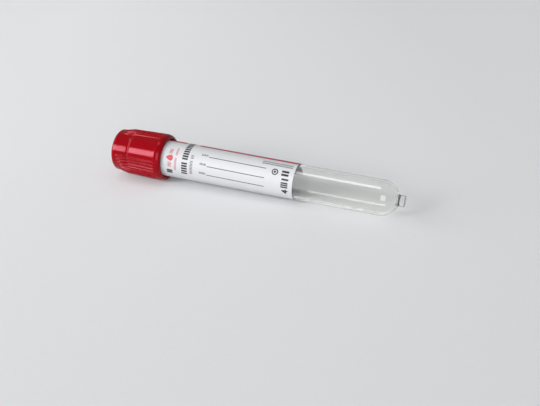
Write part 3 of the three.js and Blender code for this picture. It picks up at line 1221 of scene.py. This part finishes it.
@dataclass(frozen=True)
class SafetyCap:
    """The safety cap: grip ribs, two finger pads, a ring, a needle well, and the collar that holds the stopper.

    Every size is in metres, and the angles are in degrees. The mesh's columns across a rib and across a
    pad's edge are given in millimetres from its middle.
    """

    axis: TubeAxis
    length: float = 20.1 * MM

    # Top edge, neck and the groove where the grip starts
    top_edge: float = 1.0 * MM
    neck_radius: float = 7.6 * MM * FLAT_SIDE
    neck_length: float = 6.5 * MM
    groove_width: float = 0.55 * MM
    groove_depth: float = 0.09 * MM
    groove_edge: float = 0.03 * MM
    groove_floor: float = 0.02 * MM

    # Grip between the ribs
    grip_slope: float = 0.9 * MM
    grip_bend: float = 0.3 * MM
    grip_radius: float = 7.9 * MM * FLAT_SIDE
    grip_rise: float = 0.3 * MM  # how much the grip widens on its way to the ring

    # Ring, mouth and rim
    ring_step: float = 0.15 * MM
    ring_foot: float = 0.05 * MM
    ring_edge: float = 0.06 * MM
    ring_radius: float = 8.6 * MM * FLAT_SIDE
    ring_start: float = 17.6 * MM
    ring_end: float = 17.85 * MM
    mouth_radius: float = 7.15 * MM * FLAT_SIDE
    rim_width: float = 0.2 * MM
    rim_steps: int = 12

    # Inside: skirt, the flange's socket, needle well, hook and collar
    skirt_radius: float = 6.8 * MM * FLAT_SIDE
    skirt_lead: float = 0.5 * MM
    socket_radius: float = 6.6 * MM * FLAT_SIDE
    socket_end: float = 6.5 * MM
    socket_slope: float = 0.3 * MM  # half its length
    socket_bend: float = 0.3 * MM
    top_wall: float = 1.2 * MM
    well_radius: float = 3.5 * MM
    well_edge: float = 0.1 * MM
    chamber_start: float = 2.1 * MM
    chamber_radius: float = 3.95 * MM
    hook_start: float = 3.8 * MM
    hook_radius: float = 3.3 * MM
    collar_end: float = 4.5 * MM
    collar_radius: float = 4.8 * MM
    corner: float = 0.2 * MM  # rounding of the larger corners inside
    small_corner: float = 0.12 * MM

    # Ribs
    rib_places: int = 40
    rib_start: float = 1.9 * MM
    rib_ramp: float = 2.8 * MM
    rib_height: float = 0.35 * MM
    rib_below_ring: float = 0.05 * MM
    rib_crest: float = 0.08 * MM  # half the width of a rib's flat crest
    rib_foot: float = 0.58 * MM  # half the width of its foot
    rib_free: float = 30.0  # no rib stands this near a pad's centre

    # Finger pads
    pad_height: float = 0.12 * MM
    pad_lead: float = 1.0 * MM
    pad_step: float = 0.12 * MM
    pad_corner: float = 0.04 * MM
    pad_slope: float = 2.4 * MM
    pad_bend: float = 0.8 * MM
    pad_clear: float = 2.0 * MM  # how far inside the wall the pads lie where there are none
    pad_centre: float = 40.5
    pad_half: float = 22.8
    pad_edge: float = 0.2 * MM
    pad_reach: float = 4.0  # edge widths past which a pad falls no further
    blend: float = 0.14 * MM  # softness of the corners where ribs and pads meet the wall

    # Rows and columns of the mesh
    row_spacing: float = 0.5 * MM
    rib_columns: tuple[float, ...] = (0.62, 0.54, 0.47, 0.4, 0.31, 0.22, 0.12)  # millimetres from a rib's middle
    pad_columns: tuple[float, ...] = (-0.3, -0.22, -0.14, -0.07, 0, 0.06)  # millimetres from a pad's edge
    column_spacing: float = 0.03  # columns nearer than this, in millimetres, are one

    @property
    def grip_start(self) -> float:
        """Station where the slope from the neck ends."""
        return self.neck_length + self.grip_slope

    @property
    def grip_end_radius(self) -> float:
        """Radius of the surface between the ribs where it meets the ring."""
        return self.grip_radius + self.grip_rise

    @property
    def crest_end(self) -> float:
        """Station where ribs and pads have run into the ring."""
        return self.ring_start + self.ring_step

    def outside(self) -> np.ndarray:
        """The half section's outside without ribs and pads, from the well's edge to the rim.

        Returns:
            Points (station, radius), close enough together to carry the ribs.
        """
        turn = self.mouth_radius + self.rim_width
        wall = rounded(
            [
                (0, self.well_radius + self.well_edge, 0),
                (0, self.neck_radius, self.top_edge),
                (self.neck_length - self.groove_width, self.neck_radius, self.groove_edge),
                (self.neck_length, self.neck_radius - self.groove_depth, self.groove_floor),
                (self.neck_length + self.groove_depth, self.neck_radius, self.groove_edge),
                (self.grip_start, self.grip_radius, self.grip_bend),
                (self.ring_start, self.grip_end_radius, self.ring_foot),
                (self.crest_end, self.ring_radius, self.ring_edge),
                (self.ring_end, self.ring_radius, 0),
            ]
        )
        share = np.linspace(0, math.pi / 2, self.rim_steps + 1)
        rim = np.stack(
            [
                self.ring_end + (self.length - self.ring_end) * np.sin(share),
                turn + (self.ring_radius - turn) * np.cos(share),
            ],
            axis=1,
        )
        return without_doubles(np.vstack([divided(wall, self.row_spacing), rim]))

    def inside(self) -> np.ndarray:
        """The half section's inside, from the rim back to the well's edge.

        Returns:
            Points (station, radius).
        """
        small = self.small_corner
        return rounded(
            [
                (self.length, self.mouth_radius, 0),
                (self.length - self.skirt_lead, self.skirt_radius, self.corner),
                (self.socket_end + self.socket_slope, self.skirt_radius, small),
                (self.socket_end - self.socket_slope, self.socket_radius, small),
                (self.top_wall, self.socket_radius, self.socket_bend),
                (self.top_wall, self.collar_radius, self.corner),
                (self.collar_end, self.collar_radius, small),
                (self.collar_end, self.hook_radius, small),
                (self.hook_start, self.hook_radius, small),
                (self.hook_start, self.chamber_radius, small),
                (self.chamber_start, self.chamber_radius, small),
                (self.chamber_start, self.well_radius, small),
                (self.well_edge, self.well_radius, 0),
            ],
            steps=4,
        )

    def rib_angles(self) -> np.ndarray:
        """Angles of the ribs, in degrees: one in the middle of each place that is clear of the pads."""
        angle = (np.arange(self.rib_places) + 0.5) * 360 / self.rib_places
        return angle[self.off_pad(angle) > self.rib_free]

    def off_pad(self, angle: np.ndarray) -> np.ndarray:
        """Degrees from each angle to the centre of the nearer pad."""
        turned = np.mod(angle - self.pad_centre, 180)
        return np.minimum(turned, 180 - turned)

    def columns(self) -> np.ndarray:
        """Angles of the mesh's columns, in degrees: close together on rib sides and pad edges.

        A rib's outermost column stands on one side only, because the next rib's own takes the other.

        Returns:
            Sorted angles from 0 to 360.
        """
        per_mm = math.degrees(MM / self.grip_radius)
        places = (np.arange(self.rib_places) + 0.5) * 360 / self.rib_places
        half = np.array(self.rib_columns)
        ribs = places[:, None] + per_mm * np.concatenate([-half, [0], half[1:]])
        ends = self.pad_centre + np.array([-1, 1])[:, None] * self.pad_half
        edge = np.array(self.pad_columns) * per_mm * np.array([-1, 1])[:, None]
        pads = (ends - edge)[None] + np.array([0, 180])[:, None, None]
        every = np.sort(np.mod(np.concatenate([ribs.ravel(), pads.ravel()]), 360))
        apart = np.diff(every, append=every[0] + 360) > self.column_spacing * per_mm
        return every[apart]

    def ribs(self, station: np.ndarray, angle: np.ndarray, wall: np.ndarray) -> np.ndarray:
        """Radius of the grip with its ribs.

        The crest climbs from the neck to its height over the ramp, then slowly to the ring. Across a rib
        the surface is the wall plus the crest's height over it, times a share that falls softly from 1 on
        the crest to 0 at the rib's foot.

        Args:
            station: stations, as a column.
            angle: angles in degrees, as a row.
            wall: radii of the wall between the ribs, as a column.

        Returns:
            Radii.
        """
        crest = np.interp(
            station,
            [self.rib_start, self.rib_start + self.rib_ramp, self.crest_end],
            [self.neck_radius, self.grip_radius + self.rib_height, self.ring_radius - self.rib_below_ring],
        )
        turned = np.abs(np.mod(angle[..., None] - self.rib_angles() + 180, 360) - 180).min(-1)
        off = np.radians(turned) * (self.grip_radius + self.rib_height)
        share = np.clip((self.rib_foot - off) / (self.rib_foot - self.rib_crest), 0, 1)
        return wall + smooth_peak(crest - wall, 0 * wall, self.blend) * share**2 * (3 - 2 * share)

    def pads(self, station: np.ndarray, angle: np.ndarray) -> np.ndarray:
        """Radius of the two pads' surface, which falls with the square of the distance past its side edge.

        Args:
            station: stations, as a column.
            angle: angles in degrees, as a row.

        Returns:
            Radii, far inside the wall where there is no pad.
        """
        top = rounded(
            [
                (self.neck_length - self.pad_lead, self.neck_radius, 0),
                (self.neck_length, self.neck_radius, self.pad_corner),
                (self.neck_length + self.pad_step, self.neck_radius + self.pad_step, self.pad_corner),
                (self.neck_length + self.pad_slope, self.grip_radius + self.pad_height, self.pad_bend),
                (self.crest_end, self.grip_end_radius + self.pad_height, 0),
            ],
            steps=4,
        )
        side = np.radians(self.off_pad(angle) - self.pad_half) * self.grip_radius
        past = np.clip(side / self.pad_edge + 1, 0, self.pad_reach)
        clear = self.pad_clear * ((station < self.neck_length) | (station > self.crest_end))
        return np.interp(station, top[:, 0], top[:, 1]) - self.pad_height * past**2 - clear

    def build(self) -> bpy.types.Object:
        """The cap as one closed surface: the outside with its ribs and pads, then the inside.

        Returns:
            The object.
        """
        outside, inside = self.outside(), self.inside()
        angle = self.columns()[None, :]
        station = outside[:, :1]
        radius = self.ribs(station, angle, outside[:, 1:])
        ribbed = np.zeros((len(outside) + len(inside), angle.size))
        ribbed[: len(outside)] = np.clip((radius - outside[:, 1:]) / self.blend, 0, 1)
        radius = smooth_peak(radius, self.pads(station, angle), self.blend)
        grip = (station > self.rib_start) & (station < self.crest_end)
        radius = np.where(grip, radius, outside[:, 1:])
        radius = np.vstack([radius, np.broadcast_to(inside[:, 1:], (len(inside), angle.size))])
        station = np.concatenate([station, inside[:, :1]])
        points = self.axis.place(station, radius, np.radians(angle)).reshape(-1, 3)
        mesh = make_mesh("safety_cap", points, grid_quads(len(station), angle.size, loop_rows=True))
        mesh.attributes.new(RIBBED, "FLOAT", "POINT").data.foreach_set("value", ribbed.ravel())
        return add_piece(mesh, MouldedPlastic().material(), "cap", "closure")


# ---- Studio -------------------------------------------------------------------------------------------


@dataclass(frozen=True)
class SoftBox:
    """A rectangular lamp with an even face.

    Attributes:
        name: the lamp's name.
        towards: direction from the tube to the lamp, as shares of along, side and up.
        distance: metres from the aim point.
        size: width along the tube and height across it, in metres.
        brightness: radiance of its face, where a white floor under an even white sky shows 1.
    """

    name: str
    towards: tuple[float, float, float]
    distance: float
    size: Span
    brightness: float

    def build(self, axis: TubeAxis, aim: np.ndarray) -> bpy.types.Object:
        """Sets the lamp up so that it faces the aim point, with its width along the tube.

        Args:
            axis: the tube's axis.
            aim: the point that it faces.

        Returns:
            The lamp.
        """
        lamp = bpy.data.lights.new(self.name, "AREA")
        lamp.shape = "RECTANGLE"
        lamp.size, lamp.size_y = self.size
        lamp.energy = self.brightness * math.pi * self.size[0] * self.size[1]
        back = self.towards[0] * axis.along + self.towards[1] * axis.side + self.towards[2] * axis.up
        back /= np.linalg.norm(back)
        right = axis.along - back * (axis.along @ back)
        right /= np.linalg.norm(right)
        made = add_object(self.name, lamp)
        turn = Matrix(np.stack([right, np.cross(back, right), back], axis=1).tolist()).to_4x4()
        made.matrix_world = Matrix.Translation(Vector(aim + self.distance * back)) @ turn
        return made


@dataclass(frozen=True)
class SkyPane:
    """A bright part of the studio's walls, with soft edges.

    Attributes:
        brightness: radiance that it adds to the room's own.
        along: where its light starts, is full, begins to fade and ends, as the direction's share along the tube.
        turned: the same four in degrees round the tube, up from straight in front.
    """

    brightness: float
    along: tuple[float, float, float, float]
    turned: tuple[float, float, float, float]


@dataclass(frozen=True)
class Studio:
    """The floor, the soft light and the camera.

    Attributes:
        axis: the tube's axis.
        aim_station: station that the lamps face and the camera is set from.
        floor_size: side of the square floor, in metres.
        room: radiance of the dim room all round.
        panes: its bright parts: a window past the cap, the wall above it, and a low wall at the right.
        sky_colour: the light's colour.
        backdrop: brightness of what the eye meets past the floor's end, low down and high up.
        backdrop_rise: the direction's shares up between which it goes from one to the other.
        azimuth: degrees that the camera stands to the right of straight in front.
        elevation: degrees that it stands above the horizon.
        distance: metres from the camera to the aim point, along its view.
        offset: metres that the aim point lies to the right of and above the middle of the view.
        roll: degrees that the camera leans to the left.
        lens: focal length in millimetres, on a 36 mm wide sensor.
        clip: nearest and farthest that the camera sees, in metres.
        lamps: the lamps that stand in the room.
    """

    axis: TubeAxis
    aim_station: float = 61.5 * MM
    floor_size: float = 12.0
    room: float = 0.33
    panes: tuple[SkyPane, ...] = (
        SkyPane(18.0, (-0.8, -0.64, -0.5, -0.39), (11.0, 20.0, 38.0, 47.0)),
        SkyPane(3.6, (-2.0, -1.5, -0.86, -0.68), (-5.0, 10.0, 95.0, 125.0)),
        SkyPane(5.2, (-0.05, 0.15, 0.45, 0.65), (-4.0, 10.0, 32.0, 44.0)),
    )
    sky_colour: Colour = (0.985, 0.99, 1.0, 1)
    backdrop: Span = (0.68, 0.52)
    backdrop_rise: Span = (0.1, 0.6)
    azimuth: float = 20.9
    elevation: float = 25.5
    distance: float = 279 * MM
    offset: Span = (1.95 * MM, 8.84 * MM)
    roll: float = 0.17
    lens: float = 53.33
    clip: Span = (0.01, 20.0)
    lamps: tuple[SoftBox, ...] = (SoftBox("ceiling_lamp", (-0.23, 0.07, 0.97), 0.8, (0.22, 0.2), 3.6),)

    @property
    def aim(self) -> np.ndarray:
        """The point of the axis that the lamps face."""
        return self.axis.origin + self.aim_station * self.axis.along

    def build(self) -> None:
        """Sets the stage, the lamps and the camera."""
        self.build_floor()
        self.build_sky()
        for lamp in self.lamps:
            lamp.build(self.axis, self.aim)
        self.build_camera()

    def build_floor(self) -> None:
        """A flat floor at the height of the tube's lowest point."""
        half, level = self.floor_size / 2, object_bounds()[0].z
        corners = np.array([[-half, -half, level], [half, -half, level], [half, half, level], [-half, half, level]])
        mesh = make_mesh("floor", corners, np.array([[0, 1, 2, 3]]))
        mesh.materials.append(FloorCard().material())
        add_object("floor", mesh)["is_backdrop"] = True

    def build_sky(self) -> None:
        """A dim room with its bright panes.

        Rays that came through the clear plastic meet the backdrop in its place.
        """
        bpy.context.scene.world = bpy.data.worlds.new("studio")
        shader = Shader(bpy.context.scene.world)
        along, back, up = shader.apart(shader.add("TexCoord").outputs["Generated"])
        forward = shader.math("MULTIPLY", back, -1.0)
        turned = shader.math("MULTIPLY", shader.math("ARCTAN2", up, forward), math.degrees(1))
        light: Any = self.room
        for pane in self.panes:
            share: Any = pane.brightness
            for place, edges in ((along, pane.along), (turned, pane.turned)):
                for span in (edges[:2], edges[:1:-1]):
                    share = shader.math("MULTIPLY", share, shader.fade(place, span))
            light = shader.math("ADD", share, light)
        behind = shader.spread(shader.fade(up, self.backdrop_rise), *self.backdrop)
        lit, shown = (shader.add("Background", {"Color": self.sky_colour, "Strength": s}) for s in (light, behind))
        rays = shader.add("LightPath").outputs
        seen = shader.largest([rays["Is Camera Ray"], rays["Is Transmission Ray"]])
        shader.finish(shader.join(seen, lit, shown))

    def build_camera(self) -> None:
        """Places the camera by its angles, its distance and the aim point's place in the view."""
        a, e = math.radians(self.azimuth), math.radians(self.elevation)
        back = np.array([math.sin(a) * math.cos(e), -math.cos(a) * math.cos(e), math.sin(e)])
        level = np.array([math.cos(a), math.sin(a), 0.0])
        upright = np.cross(back, level)
        lean = math.radians(self.roll)
        right = math.cos(lean) * level + math.sin(lean) * upright
        up = math.cos(lean) * upright - math.sin(lean) * level
        place = self.aim - self.offset[0] * right - self.offset[1] * up + self.distance * back
        data = bpy.data.cameras.new("camera")
        data.lens = self.lens
        data.clip_start, data.clip_end = self.clip
        camera = add_object("camera", data)
        turn = Matrix(np.stack([right, up, back], axis=1).tolist()).to_4x4()
        camera.matrix_world = Matrix.Translation(Vector(place)) @ turn
        bpy.context.scene.camera = camera


def main() -> None:
    """Builds the tube's pieces in order, then the studio."""
    logging.basicConfig(level=logging.INFO)
    bpy.context.scene.view_settings.view_transform = "Standard"
    axis = TubeAxis.from_record(frame["record"])
    tube = ClearTube(axis)
    tube.build()
    PaperLabel(tube).build()
    Stopper(tube).build()
    SafetyCap(axis).build()
    Studio(axis).build()


if __name__ == "__main__":
    main()
